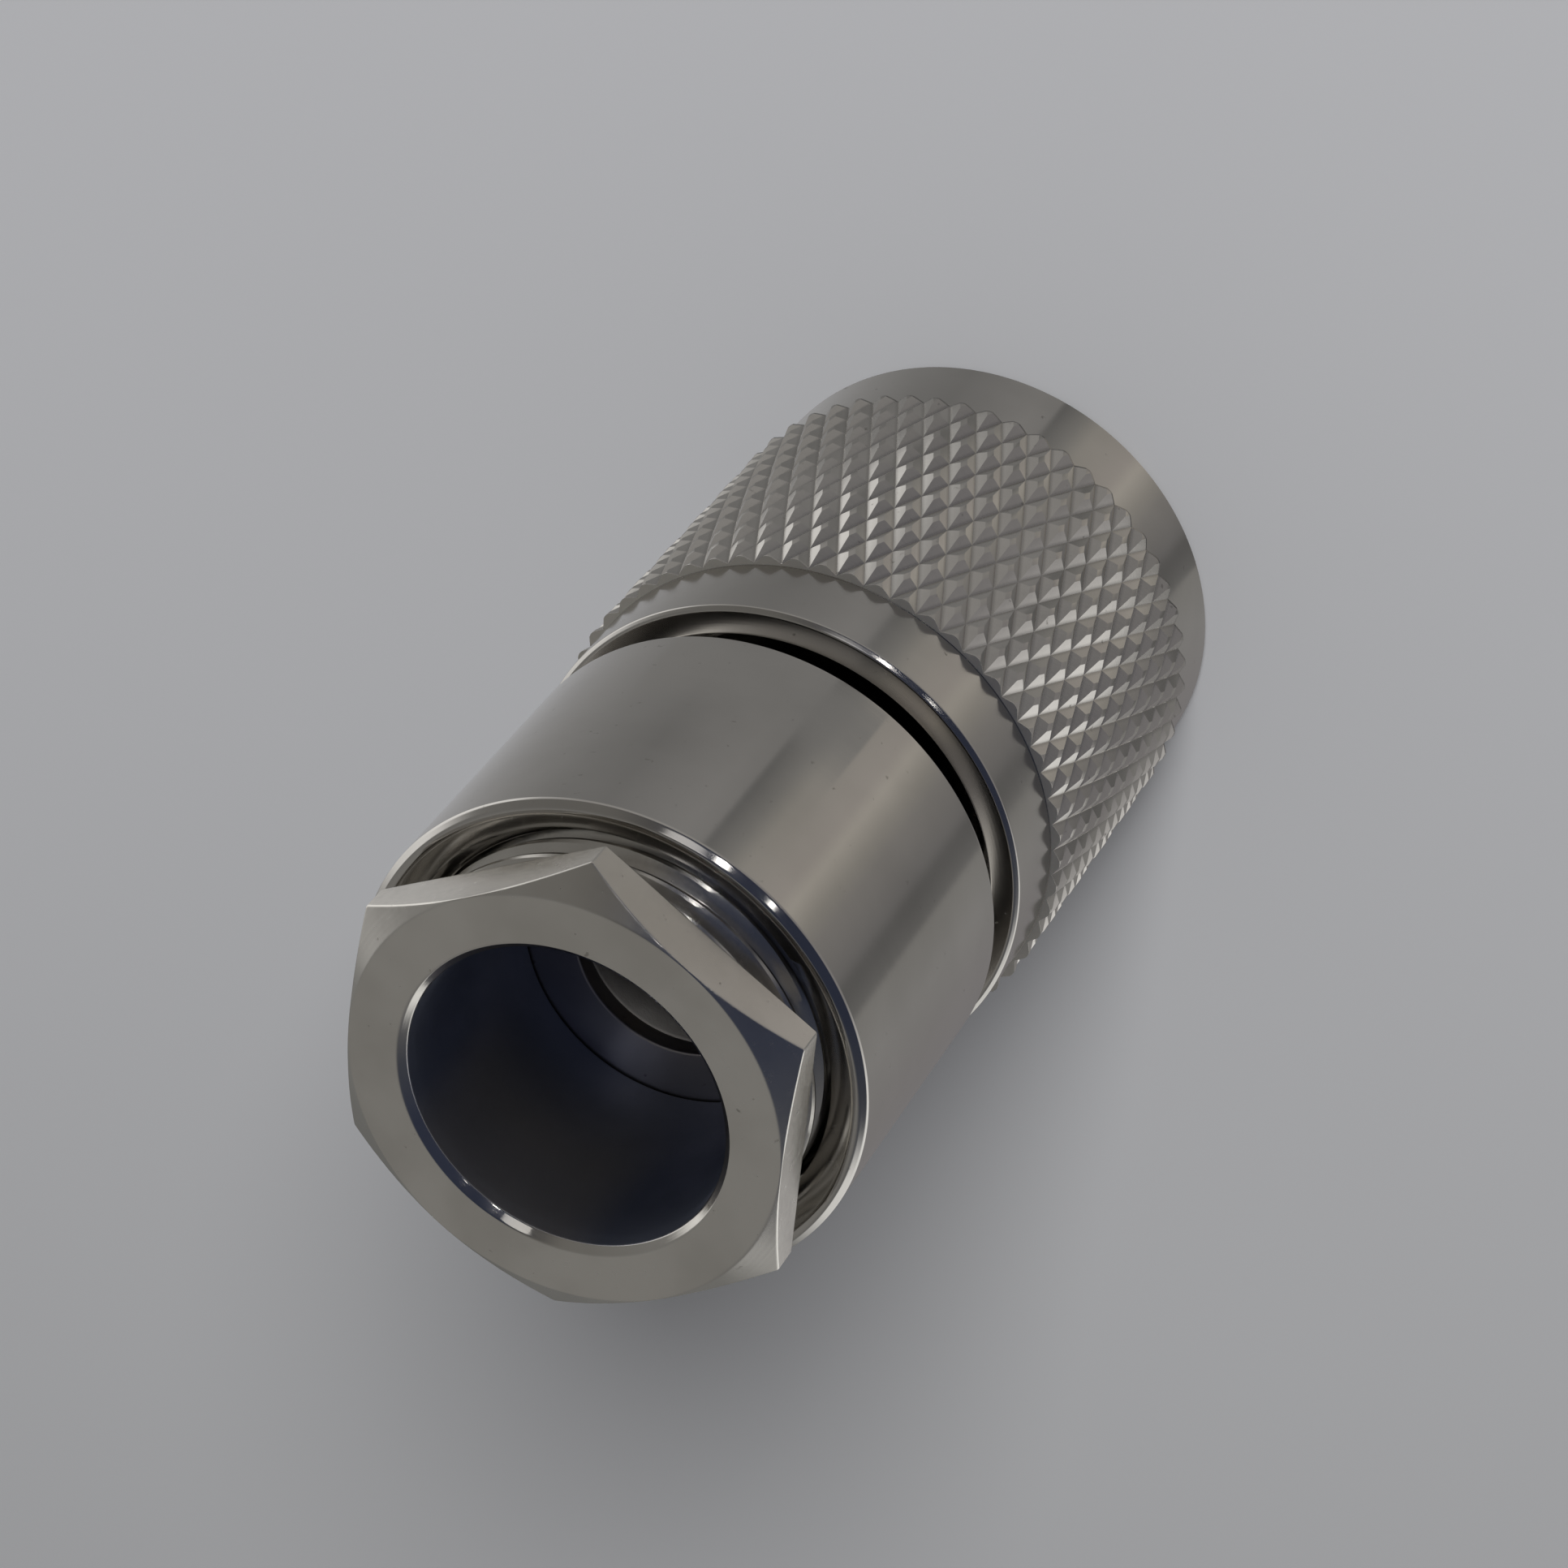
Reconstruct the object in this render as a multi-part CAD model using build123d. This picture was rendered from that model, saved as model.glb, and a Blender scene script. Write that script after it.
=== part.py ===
from build123d import *
import math
import os

# Threaded coaxial cable plug with a hand-tightened coupling nut.
# Units are millimetres. The plug stands on the mouth of its coupling nut:
# the origin is the centre of that rim, +Z runs along the axis towards the cable end.

# Outer contact, a slotted spring sleeve: the other diameters are counted outwards from it
SLEEVE_OD = 8.1
SLEEVE_WALL = 0.65
SLEEVE_REACH = 5.2
SLEEVE_SEAT_DEPTH = 3.3
SLEEVE_TIP_CHAMFER = 0.2
SLEEVE_NECKING = 0.12
SLEEVE_LIP = 0.9
SLOT_COUNT = 4
SLOT_WIDTH = 0.45
SLOT_END_TO_SEAL = 0.6

# Coupling thread, 7/16 inch with 28 turns to the inch, left as its minor diameter
SOCKET_SPACE = 1.07
COUPLING_THREAD_LENGTH = 8.3
MOUTH_CHAMFER = 0.83

# Coupling nut
RELIEF_STEP = 0.78
COUNTERBORE_GAP = 0.7
NUT_WALL = 0.9
NUT_FRONT_CHAMFER = 0.3
NUT_REAR_CHAMFER = 0.13
FRONT_BAND = 3.0
REAR_BAND = 2.58
KNURL_COUNT = 57
KNURL_HELIX_DEG = 21.0
KNURL_HEIGHT = 0.22
KNURL_RISE = 0.3
KNURL_OVERLAP = 0.3

# How the coupling nut turns on the body
TURN_CLEARANCE = 0.07
RING_THICKNESS = 0.9
RING_AXIAL_PLAY = 0.15
RING_DEPTH_IN_NECK = 0.75
RING_PROUD = 0.5
RING_SPLIT_DEG = 24.0
RING_FROM_NECK_START = 2.1
RING_LAND = 0.8

# Body
NECK_BEHIND_THREAD = 1.0
NECK_FRONT_CHAMFER = 0.2
SEAT_BEHIND_BODY_FRONT = 0.6
BODY_GAP = 1.57
BODY_LENGTH = 9.5
BODY_FRONT_CHAMFER = 0.1
BODY_REAR_CHAMFER = 0.2
REAR_LAND = 0.175
NECK_CORNER_RELIEF = 0.3

# Sealing ring in the mouth
SEAL_THICKNESS = 0.7
SEAL_WIDTH = 1.35
SEAL_TO_SLEEVE = 0.2

# Insulators and centre contact
SLIDE_CLEARANCE = 0.05
INSULATOR_SETBACK = 0.2
INSULATOR_WALL = 0.925
INSULATOR_WELL_DEPTH = 5.4
PIN_D = 1.35
PIN_POINT_D = 0.5
PIN_TIP_LENGTH = 1.2
PIN_TIP_SETBACK = 0.4
PIN_SHOULDER = 0.325
PIN_SHANK_REAR = 1.6
PIN_SHANK_CHAMFER = 0.15
PIN_COLLAR_STEP = 0.5
PIN_COLLAR = 0.5
SHOULDER_IN_BASE = 0.6
CUP_WALL = 0.4
CUP_DEPTH = 2.4
CUP_WINDOW_D = 0.6
LAND_STEP = 0.75
LAND_LENGTH = 0.6
REAR_INSULATOR_STEP = 0.5
REAR_INSULATOR_LENGTH = 1.6

# Cable clamp inside the body
CONE_SETBACK = 0.8
CONE_LENGTH = 3.0
BRAID_GAP = 0.3
CLAMP_FLANGE = 1.2
CLAMP_PLAY = 0.1
NOSE_GAP = 0.2
CONE_NOSE_WALL = 0.7
CONE_NOSE_CHAMFER = 0.2
GASKET_TRAVEL = 0.85
GASKET_THICKNESS = 1.65
GASKET_GROOVE = 0.7
GASKET_SETBACK = 0.15
WASHER_THICKNESS = 0.6
STACK_CLEARANCE = 0.05

# Clamp nut and its thread
CONE_WALL = 0.5
CLAMP_SEAT_WIDTH = 0.55
CAVITY_STEP = 0.05
THREAD_CLEARANCE = 0.05
THREAD_WALL = 1.375
THREAD_DEPTH_IN_BODY = 5.5
COUNTERSINK_DEPTH = 0.7
FLANGE_GAP = 1.22
HEX_CORNER_INSET = 0.21
HEX_THICKNESS = 1.58
HEX_CHAMFER_DEG = 35.5
HEX_CHAMFER_INSET = 0.03
HEX_TURN_DEG = 26.5
UNDERCUT_DEPTH = 0.5
UNDERCUT_LENGTH = 0.52
THREAD_LEAD_CHAMFER = 0.4
NUT_SHANK_WALL = 0.95
NUT_MOUTH_CHAMFER = 0.25
NUT_MOUTH_DEPTH = 0.65

# How far a cutting tool runs past the piece it cuts
OVERRUN = 1.0

# Diameters worked out from the sizes above, from the sleeve outwards
COUPLING_MINOR_D = SLEEVE_OD + 2 * SOCKET_SPACE
NECK_D = COUPLING_MINOR_D + 2 * RELIEF_STEP
COUNTERBORE_D = NECK_D + 2 * COUNTERBORE_GAP
NUT_OD = COUNTERBORE_D + 2 * NUT_WALL
CLAMP_SEAT_D = NECK_D - 2 * CONE_WALL
CLAMP_CAVITY_D = CLAMP_SEAT_D + 2 * CLAMP_SEAT_WIDTH
THREAD_D = CLAMP_CAVITY_D + 2 * CAVITY_STEP
BODY_OD = THREAD_D + 2 * (THREAD_CLEARANCE + THREAD_WALL)
HEX_ACROSS_FLATS = (BODY_OD - 2 * HEX_CORNER_INSET) * math.cos(math.pi / 6)
COUNTERSINK_D = BODY_OD - 2 * (BODY_REAR_CHAMFER + REAR_LAND)
UNDERCUT_D = THREAD_D - 2 * UNDERCUT_DEPTH
NUT_BORE_D = UNDERCUT_D - 2 * NUT_SHANK_WALL
MOUTH_D = COUPLING_MINOR_D + 2 * MOUTH_CHAMFER
SEAL_ID = SLEEVE_OD + 2 * SEAL_TO_SLEEVE
SEAL_OD = SEAL_ID + 2 * SEAL_WIDTH
SLEEVE_ID = SLEEVE_OD - 2 * SLEEVE_WALL
INSULATOR_OD = SLEEVE_ID - 2 * SLIDE_CLEARANCE
INSULATOR_WELL_D = INSULATOR_OD - 2 * INSULATOR_WALL
PIN_SHANK_D = PIN_D + 2 * PIN_SHOULDER
PIN_COLLAR_D = PIN_SHANK_D + 2 * PIN_COLLAR_STEP
CUP_D = PIN_SHANK_D - 2 * CUP_WALL
LAND_BORE_D = SLEEVE_OD - 2 * LAND_STEP
REAR_INSULATOR_D = LAND_BORE_D + 2 * REAR_INSULATOR_STEP
CABLE_PASSAGE_D = REAR_INSULATOR_D - 2 * (NOSE_GAP + CONE_NOSE_WALL)
CLAMP_OD = CLAMP_CAVITY_D - 2 * CLAMP_PLAY
GASKET_ID = CABLE_PASSAGE_D + 2 * GASKET_SETBACK

# Heights worked out from the sizes above, from the mouth to the cable end
NECK_START = COUPLING_THREAD_LENGTH + NECK_BEHIND_THREAD
SEAL_FRONT = NECK_START - SEAL_THICKNESS
SLEEVE_FRONT = SEAL_FRONT - SLEEVE_REACH
WELL_BOTTOM = SLEEVE_FRONT + INSULATOR_SETBACK + INSULATOR_WELL_DEPTH
COLLAR_SEAT = WELL_BOTTOM + SHOULDER_IN_BASE
SLEEVE_REAR = NECK_START + SLEEVE_SEAT_DEPTH
LAND_REAR = SLEEVE_REAR + LAND_LENGTH
REAR_INSULATOR_REAR = LAND_REAR + REAR_INSULATOR_LENGTH
CONE_FRONT = REAR_INSULATOR_REAR + CONE_SETBACK
CLAMP_SEAT = CONE_FRONT + CONE_LENGTH
RING_FRONT = NECK_START + RING_FROM_NECK_START
RING_REAR = RING_FRONT + RING_THICKNESS
COUNTERBORE_FRONT = RING_REAR + RING_AXIAL_PLAY + RING_LAND
BODY_FRONT = CLAMP_SEAT - SEAT_BEHIND_BODY_FRONT
NUT_LENGTH = BODY_FRONT - BODY_GAP
GASKET_FRONT = CLAMP_SEAT + CLAMP_FLANGE + GASKET_TRAVEL
WASHER_FRONT = GASKET_FRONT + GASKET_THICKNESS
NUT_INNER_END = WASHER_FRONT + WASHER_THICKNESS + STACK_CLEARANCE
BODY_REAR = BODY_FRONT + BODY_LENGTH
THREAD_BORE_END = BODY_REAR - THREAD_DEPTH_IN_BODY
FLANGE_FRONT = BODY_REAR + FLANGE_GAP
OVERALL = FLANGE_FRONT + HEX_THICKNESS


def turned(outline):
    """Solid of revolution about Z from (radius, height) points."""
    section = make_face(Polyline(*[(r, 0, z) for r, z in outline], close=True))
    return revolve(section, Axis.Z)


def knurl_skin(inner_radius, z_low, z_high):
    """Closed faceted drum of pointed diamonds, where two families of helical V grooves cross."""
    peak = inner_radius + KNURL_HEIGHT
    pitch = 2 * math.pi / KNURL_COUNT
    half_width = math.pi * peak / KNURL_COUNT
    rows = round((z_high - z_low) * math.tan(math.radians(KNURL_HELIX_DEG)) / half_width)
    row_height = (z_high - z_low) / rows

    def point(radius, turn, row):
        """Vertex at a radius, a number of pitches round and a number of rows up."""
        angle = turn * pitch
        return Vector(radius * math.cos(angle), radius * math.sin(angle), z_low + row * row_height)

    def facet(*corners):
        """Flat face through the corners."""
        return Face(Wire.make_polygon(corners))

    faces = []
    for row in range(rows + 1):
        stagger = 0.5 * (row % 2)
        for k in range(KNURL_COUNT):
            left = point(inner_radius, k + stagger, row)
            right = point(inner_radius, k + stagger + 1, row)
            apex = point(peak, k + stagger + 0.5, row)
            if row < rows:
                above = point(inner_radius, k + stagger + 0.5, row + 1)
                faces.append(facet(left, apex, above))
                faces.append(facet(apex, right, above))
            if row > 0:
                below = point(inner_radius, k + stagger + 0.5, row - 1)
                faces.append(facet(left, below, apex))
                faces.append(facet(apex, below, right))
    for row in (0, rows):
        stagger = 0.5 * (row % 2)
        star = []
        for k in range(KNURL_COUNT):
            star.append(point(inner_radius, k + stagger, row))
            star.append(point(peak, k + stagger + 0.5, row))
        faces.append(facet(*star))
    return Solid(Shell(faces))


def coupling_nut():
    """Knurled nut: plain band, diamond knurl, plain band; threaded mouth, ring groove, open rear."""
    band = NUT_OD / 2
    front = NUT_FRONT_CHAMFER
    rear = NUT_REAR_CHAMFER
    knurl_low = FRONT_BAND
    knurl_high = NUT_LENGTH - REAR_BAND
    knurl_root = band + KNURL_RISE - KNURL_HEIGHT
    core = knurl_root - KNURL_OVERLAP
    outside = turned([
        (0, 0), (band - front, 0), (band, front), (band, knurl_low), (core, knurl_low),
        (core, knurl_high), (band, knurl_high), (band, NUT_LENGTH - rear),
        (band - rear, NUT_LENGTH), (0, NUT_LENGTH),
    ])
    minor = COUPLING_MINOR_D / 2
    mouth = MOUTH_D / 2
    relief = NECK_D / 2 + TURN_CLEARANCE
    groove = NECK_D / 2 + RING_PROUD + RING_AXIAL_PLAY
    groove_low = RING_FRONT - RING_AXIAL_PLAY
    groove_high = RING_REAR + RING_AXIAL_PLAY
    counterbore = COUNTERBORE_D / 2
    inside = turned([
        (0, -OVERRUN), (mouth, -OVERRUN), (mouth, 0), (minor, MOUTH_CHAMFER),
        (minor, COUPLING_THREAD_LENGTH),
        (relief, COUPLING_THREAD_LENGTH + (relief - minor) / 2), (relief, groove_low),
        (groove, groove_low), (groove, groove_high), (relief, groove_high),
        (relief, COUNTERBORE_FRONT), (counterbore, COUNTERBORE_FRONT), (counterbore, NUT_LENGTH - rear),
        (counterbore + rear / 2, NUT_LENGTH), (counterbore + rear / 2, NUT_LENGTH + OVERRUN),
        (0, NUT_LENGTH + OVERRUN),
    ])
    return outside + knurl_skin(knurl_root, knurl_low, knurl_high) - inside


def body_shell():
    """Turned body: slim neck inside the nut, stepped bore, cone seat, threaded rear with countersink."""
    neck = NECK_D / 2
    outer = BODY_OD / 2
    front = BODY_FRONT_CHAMFER
    rear = BODY_REAR_CHAMFER
    groove = neck - RING_DEPTH_IN_NECK
    outside = turned([
        (0, NECK_START), (neck - NECK_FRONT_CHAMFER, NECK_START), (neck, NECK_START + NECK_FRONT_CHAMFER),
        (neck, RING_FRONT - RING_AXIAL_PLAY),
        (groove, RING_FRONT - RING_AXIAL_PLAY), (groove, RING_REAR), (neck, RING_REAR),
        (neck, BODY_FRONT - NECK_CORNER_RELIEF), (neck + NECK_CORNER_RELIEF, BODY_FRONT),
        (outer - front, BODY_FRONT), (outer, BODY_FRONT + front), (outer, BODY_REAR - rear),
        (outer - rear, BODY_REAR), (0, BODY_REAR),
    ])
    seat = SLEEVE_OD / 2 + SLIDE_CLEARANCE
    land = LAND_BORE_D / 2
    pocket = REAR_INSULATOR_D / 2 + SLIDE_CLEARANCE
    cone_rear = CLAMP_SEAT_D / 2
    cavity = CLAMP_CAVITY_D / 2
    thread = THREAD_D / 2 + THREAD_CLEARANCE
    inside = turned([
        (0, NECK_START - OVERRUN), (seat, NECK_START - OVERRUN), (seat, SLEEVE_REAR), (land, SLEEVE_REAR),
        (land, LAND_REAR), (pocket, LAND_REAR), (pocket, CONE_FRONT), (cone_rear, CLAMP_SEAT),
        (cavity, CLAMP_SEAT), (cavity, THREAD_BORE_END), (thread, THREAD_BORE_END),
        (thread, BODY_REAR - COUNTERSINK_DEPTH), (COUNTERSINK_D / 2, BODY_REAR),
        (COUNTERSINK_D / 2, BODY_REAR + OVERRUN), (0, BODY_REAR + OVERRUN),
    ])
    return outside - inside


def retaining_ring():
    """Flat split ring that holds the nut on the neck, sprung open in its groove."""
    outer = NECK_D / 2 + RING_PROUD
    inner = NECK_D / 2 - RING_DEPTH_IN_NECK + SLIDE_CLEARANCE
    ring = turned([(inner, RING_FRONT), (outer, RING_FRONT), (outer, RING_REAR), (inner, RING_REAR)])
    split = outer * math.tan(math.radians(RING_SPLIT_DEG / 2))
    opening = make_face(Polyline((0, 0), (outer + OVERRUN, -split), (outer + OVERRUN, split), close=True))
    return ring - Pos(0, 0, RING_FRONT) * extrude(opening, RING_THICKNESS)


def interface_gasket():
    """Rubber ring that the mating socket's rim presses against the body's front face."""
    inner = SEAL_ID / 2
    outer = SEAL_OD / 2
    return turned([(inner, SEAL_FRONT), (outer, SEAL_FRONT), (outer, NECK_START), (inner, NECK_START)])


def outer_contact():
    """Spring sleeve: four slots leave fingers, necked behind a thicker contact lip at the tip."""
    outer = SLEEVE_OD / 2
    inner = SLEEVE_ID / 2
    tip = SLEEVE_TIP_CHAMFER
    waist = outer - SLEEVE_NECKING
    lip_end = SLEEVE_FRONT + SLEEVE_LIP
    waist_end = SEAL_FRONT - SLOT_END_TO_SEAL
    slope = 2 * SLEEVE_NECKING
    sleeve = turned([
        (inner, SLEEVE_FRONT), (outer - tip, SLEEVE_FRONT), (outer, SLEEVE_FRONT + tip), (outer, lip_end),
        (waist, lip_end + slope), (waist, waist_end), (outer, waist_end + slope),
        (outer, SLEEVE_REAR), (inner, SLEEVE_REAR),
    ])
    slot_length = waist_end - SLEEVE_FRONT
    slot = Pos(0, 0, SLEEVE_FRONT - OVERRUN) * Box(
        outer + OVERRUN, SLOT_WIDTH, slot_length + OVERRUN, align=(Align.MIN, Align.CENTER, Align.MIN)
    )
    for k in range(SLOT_COUNT):
        sleeve -= Rot(0, 0, (k + 0.5) * 360 / SLOT_COUNT) * slot
    return sleeve


def front_insulator():
    """Pale sleeve round the pin, with an open well that takes the mating socket's insulator."""
    front = SLEEVE_FRONT + INSULATOR_SETBACK
    outer = INSULATOR_OD / 2
    well = INSULATOR_WELL_D / 2
    hole = PIN_D / 2 + SLIDE_CLEARANCE
    shank = PIN_SHANK_D / 2 + SLIDE_CLEARANCE
    return turned([
        (well, front), (outer, front), (outer, SLEEVE_REAR), (shank, SLEEVE_REAR),
        (shank, COLLAR_SEAT), (hole, COLLAR_SEAT), (hole, WELL_BOTTOM), (well, WELL_BOTTOM),
    ])


def centre_contact():
    """Pin with a rounded tip, shank, holding collar and a solder cup with its window."""
    radius = PIN_D / 2
    tip = SLEEVE_FRONT + PIN_TIP_SETBACK
    shank = PIN_SHANK_D / 2
    collar = PIN_COLLAR_D / 2
    rear = REAR_INSULATOR_REAR + PIN_SHANK_REAR
    collar_rear = SLEEVE_REAR + PIN_COLLAR
    shoulder = tip + PIN_TIP_LENGTH
    nose = make_face(
        Polyline((PIN_POINT_D / 2, 0, tip), (0, 0, tip), (0, 0, shoulder), (radius, 0, shoulder))
        + ThreePointArc(
            (radius, 0, shoulder), (0.8 * radius, 0, tip + 0.4 * PIN_TIP_LENGTH), (PIN_POINT_D / 2, 0, tip)
        )
    )
    shaft = turned([
        (0, shoulder), (radius, shoulder), (radius, COLLAR_SEAT), (shank, COLLAR_SEAT),
        (shank, SLEEVE_REAR), (collar, SLEEVE_REAR), (collar, collar_rear), (shank, collar_rear),
        (shank, rear - PIN_SHANK_CHAMFER), (shank - PIN_SHANK_CHAMFER, rear), (0, rear),
    ])
    cup = Pos(0, 0, rear - CUP_DEPTH) * Cylinder(
        CUP_D / 2, CUP_DEPTH + OVERRUN, align=(Align.CENTER, Align.CENTER, Align.MIN)
    )
    window = Pos(0, 0, rear - CUP_DEPTH + CUP_WINDOW_D) * Rot(0, 90, 0) * Cylinder(
        CUP_WINDOW_D / 2, shank + OVERRUN, align=(Align.CENTER, Align.CENTER, Align.MIN)
    )
    return revolve(nose, Axis.Z) + shaft - cup - window


def rear_insulator():
    """Disc that centres the contact's shank behind the land in the body's bore."""
    outer = REAR_INSULATOR_D / 2
    hole = PIN_SHANK_D / 2 + SLIDE_CLEARANCE
    rear = REAR_INSULATOR_REAR
    return turned([(hole, LAND_REAR), (outer, LAND_REAR), (outer, rear), (hole, rear)])


def braid_clamp():
    """Flanged sleeve whose cone squeezes the cable's braid against the body's cone seat."""
    bore = CABLE_PASSAGE_D / 2
    nose = bore + CONE_NOSE_WALL
    cone = CLAMP_SEAT_D / 2 - BRAID_GAP
    flange = CLAMP_OD / 2
    rear = CLAMP_SEAT + CLAMP_FLANGE
    return turned([
        (bore, CONE_FRONT), (nose - CONE_NOSE_CHAMFER, CONE_FRONT), (nose, CONE_FRONT + CONE_NOSE_CHAMFER),
        (cone, CLAMP_SEAT),
        (flange, CLAMP_SEAT), (flange, rear), (nose + GASKET_GROOVE, rear), (bore, rear - GASKET_GROOVE / 2),
    ])


def clamp_gasket():
    """Rubber ring with a V groove facing the cone clamp, squeezed onto the cable's jacket."""
    front = GASKET_FRONT
    rear = WASHER_FRONT
    inner = GASKET_ID / 2
    outer = CLAMP_OD / 2
    middle = (inner + outer) / 2
    half = GASKET_GROOVE / 2
    return turned([
        (inner, front), (middle - half, front), (middle, front + half), (middle + half, front),
        (outer, front), (outer, rear), (inner, rear),
    ])


def slip_washer():
    """Thin flat washer that lets the nut turn without twisting the gasket."""
    inner = GASKET_ID / 2
    outer = CLAMP_OD / 2
    rear = WASHER_FRONT + WASHER_THICKNESS
    return turned([(inner, WASHER_FRONT), (outer, WASHER_FRONT), (outer, rear), (inner, rear)])


def clamp_nut():
    """Hexagon flange with chamfered corners, undercut and hollow threaded shank."""
    thread = THREAD_D / 2
    lead = THREAD_LEAD_CHAMFER
    neck = UNDERCUT_D / 2
    undercut_low = FLANGE_FRONT - UNDERCUT_LENGTH
    shank = turned([
        (0, NUT_INNER_END), (thread - lead, NUT_INNER_END), (thread, NUT_INNER_END + lead),
        (thread, undercut_low - lead / 2), (thread - lead / 2, undercut_low), (neck, undercut_low),
        (neck, FLANGE_FRONT), (0, FLANGE_FRONT),
    ])
    corner = HEX_ACROSS_FLATS / 2 / math.cos(math.pi / 6)
    hexagon = RegularPolygon(corner, 6, rotation=HEX_TURN_DEG)
    flange = Pos(0, 0, FLANGE_FRONT) * extrude(hexagon, HEX_THICKNESS)
    face = HEX_ACROSS_FLATS / 2 - HEX_CHAMFER_INSET
    reach = corner + OVERRUN
    drop = (reach - face) * math.tan(math.radians(HEX_CHAMFER_DEG))
    chamfer = turned([
        (0, FLANGE_FRONT - OVERRUN), (reach, FLANGE_FRONT - OVERRUN), (reach, OVERALL - drop),
        (face, OVERALL), (0, OVERALL),
    ])
    bore = NUT_BORE_D / 2
    mouth = bore + NUT_MOUTH_CHAMFER
    passage = turned([
        (0, NUT_INNER_END - OVERRUN), (bore, NUT_INNER_END - OVERRUN), (bore, OVERALL - NUT_MOUTH_DEPTH),
        (mouth, OVERALL), (mouth, OVERALL + OVERRUN), (0, OVERALL + OVERRUN),
    ])
    return shank + (flange & chamfer) - passage


PIECES = {
    "coupling_nut": coupling_nut,
    "retaining_ring": retaining_ring,
    "interface_gasket": interface_gasket,
    "body_shell": body_shell,
    "outer_contact": outer_contact,
    "front_insulator": front_insulator,
    "centre_contact": centre_contact,
    "rear_insulator": rear_insulator,
    "braid_clamp": braid_clamp,
    "clamp_gasket": clamp_gasket,
    "slip_washer": slip_washer,
    "clamp_nut": clamp_nut,
}

os.makedirs("parts", exist_ok=True)
for name, make in PIECES.items():
    piece = make()
    export_step(piece, os.path.join("parts", name + ".step"))
    print(name, round(piece.volume, 2))
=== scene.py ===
# Looks of a screw-on coaxial cable plug: nickel-plated turned parts with a diamond knurl, cut
# threads and a hexagon, standing on its coupling nut. Sizes are in millimetres, written to the
# meshes in metres.
import math

import bpy
import numpy as np
from mathutils import Matrix, Vector


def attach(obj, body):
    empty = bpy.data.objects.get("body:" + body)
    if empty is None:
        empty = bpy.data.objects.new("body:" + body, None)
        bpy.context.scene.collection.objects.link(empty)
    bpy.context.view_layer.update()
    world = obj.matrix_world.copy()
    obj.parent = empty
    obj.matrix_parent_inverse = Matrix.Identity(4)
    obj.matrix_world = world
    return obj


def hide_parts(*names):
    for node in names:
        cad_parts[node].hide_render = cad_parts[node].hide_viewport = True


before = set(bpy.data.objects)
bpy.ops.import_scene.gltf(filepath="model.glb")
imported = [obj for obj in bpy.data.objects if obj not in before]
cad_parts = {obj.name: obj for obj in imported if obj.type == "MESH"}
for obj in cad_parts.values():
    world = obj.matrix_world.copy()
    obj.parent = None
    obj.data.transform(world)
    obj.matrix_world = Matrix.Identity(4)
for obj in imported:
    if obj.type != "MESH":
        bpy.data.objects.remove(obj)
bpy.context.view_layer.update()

MM = 0.001

# Points that a softened corner is made of, and its curve's share of them
CORNER_POINTS = 7
CURVE_POINTS = 5

# Coupling nut
NUT_R = 7.5
NUT_END = 16.43
NUT_FRONT_EDGE = 0.3
NUT_REAR_EDGE = 0.13
KNURL_START = 3.0
KNURL_END = 13.85
KNURL_ROOT_R = 7.58
KNURL_TIP_R = 7.795
KNURL_ROUND = 57
KNURL_ROWS = 10
KNURL_COLUMN_STEPS = 8
KNURL_ROW_STEPS = 4
KNURL_BLUNT = 0.74
KNURL_ABOVE = 0.2
KNURL_FOOT = 0.03
TOOTH_LEAN = 0.36
SAME_RADIUS = 0.01
# Painted highlight: a light tone laid on the knurl's shoulder against the dark that it reflects
SHOULDER_PAINTED_LIGHT = (0.88, 0.86, 0.82)
SHOULDER_ROUGH = 0.50
MOUTH_R = 5.95
MINOR_R = 5.12
MAJOR_R = 5.54
COUPLING_PITCH = 0.907
COUPLING_STEPS = 8
THREAD_END = 8.3
RELIEF_R = 5.97
RELIEF_START = 8.725
GROOVE_R = 6.55
GROOVE_LOW = 11.25
GROOVE_HIGH = 12.45
RELIEF_END = 13.25
COUNTERBORE_R = 6.6

# Body
NECK_R = 5.9
NECK_START = 9.3
RING_SEAT_R = 5.15
RING_SEAT_HIGH = 12.3
NECK_END = 17.7
BODY_START = 18.0
BODY_R = 7.425
BODY_END = 27.5
BODY_FRONT_EDGE = 0.1
BODY_REAR_EDGE = 0.2
SEAT_R = 4.1
SEAT_END = 12.6
LAND_R = 3.3
LAND_END = 13.2
POCKET_R = 3.85
POCKET_END = 15.6
CONE_R = 5.4
CONE_END = 18.6
CAVITY_R = 5.95
CAVITY_END = 22.0
REAR_THREAD_R = 6.05
REAR_THREAD_DEPTH = 0.38
COUNTERSINK_R = 7.05
COUNTERSINK_START = 26.8

# Clamp nut
CLAMP_START = 22.95
CLAMP_THREAD_R = 6.0
CLAMP_ROOT_R = 5.58
CLAMP_LEAD = 0.4
CLAMP_PITCH = 0.8
CLAMP_STEPS = 10
CLAMP_THREAD_END = 28.2
UNDERCUT_R = 5.5
HEX_START = 28.72
HEX_END = 30.3
HEX_FLATS = 12.4966
HEX_CORNER = math.radians(26.5)
HEX_FACE_R = 6.218
HEX_FACE_TILT = math.tan(math.radians(35.5))
BORE_R = 4.55
BORE_MOUTH_R = 4.8
BORE_MOUTH_DEPTH = 0.65
BORE_EDGE = 0.22
BORE_ROUGH = 0.40
# Painted shade inside the bore in two dark navy tones, and a lighter painted reflection on its -x wall near
# the mouth
BORE_SHADE_LIGHT = (0.44, 0.48, 0.60)
BORE_SHADE_DARK = (0.36, 0.40, 0.51)
BORE_PAINTED_LIGHT = (0.70, 0.68, 0.68)
MOUTH_ROUGH = 0.09

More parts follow.
